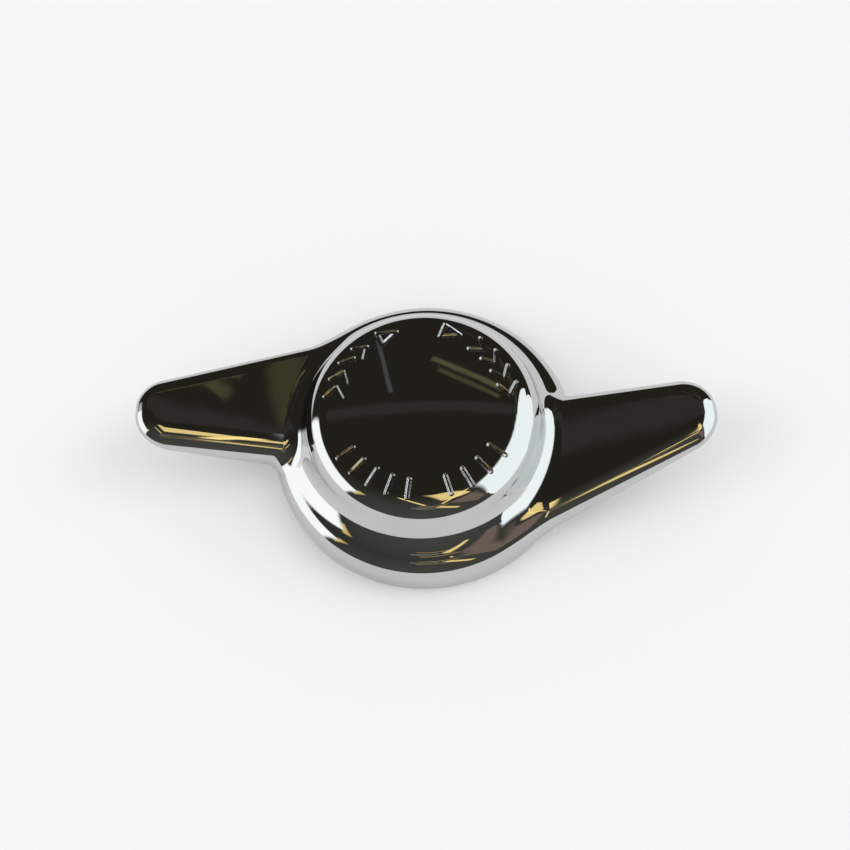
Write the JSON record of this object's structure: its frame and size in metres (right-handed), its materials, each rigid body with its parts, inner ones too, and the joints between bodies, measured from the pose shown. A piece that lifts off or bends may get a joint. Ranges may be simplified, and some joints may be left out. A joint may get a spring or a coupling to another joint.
{
  "type": "wheel spinner",
  "caption": "Wire wheel spinner: chromed knock-off nut with swept, rising ears, a crowned round cap, and a cone seat and threaded bore in its back.",
  "frame": {"origin": "centre of the back rim, which is the centre of the underside of the bounding box", "axes": "+Z along the thread's axis, out of the wheel through the cap; +X towards the tip of one ear"},
  "size_m": [0.1794, 0.098, 0.031],
  "materials": {
    "chrome": "bright polished chrome plate on a one-piece forging"
  },
  "bodies": {
    "root": {"spinner": "chrome"}
  },
  "joints": []
}
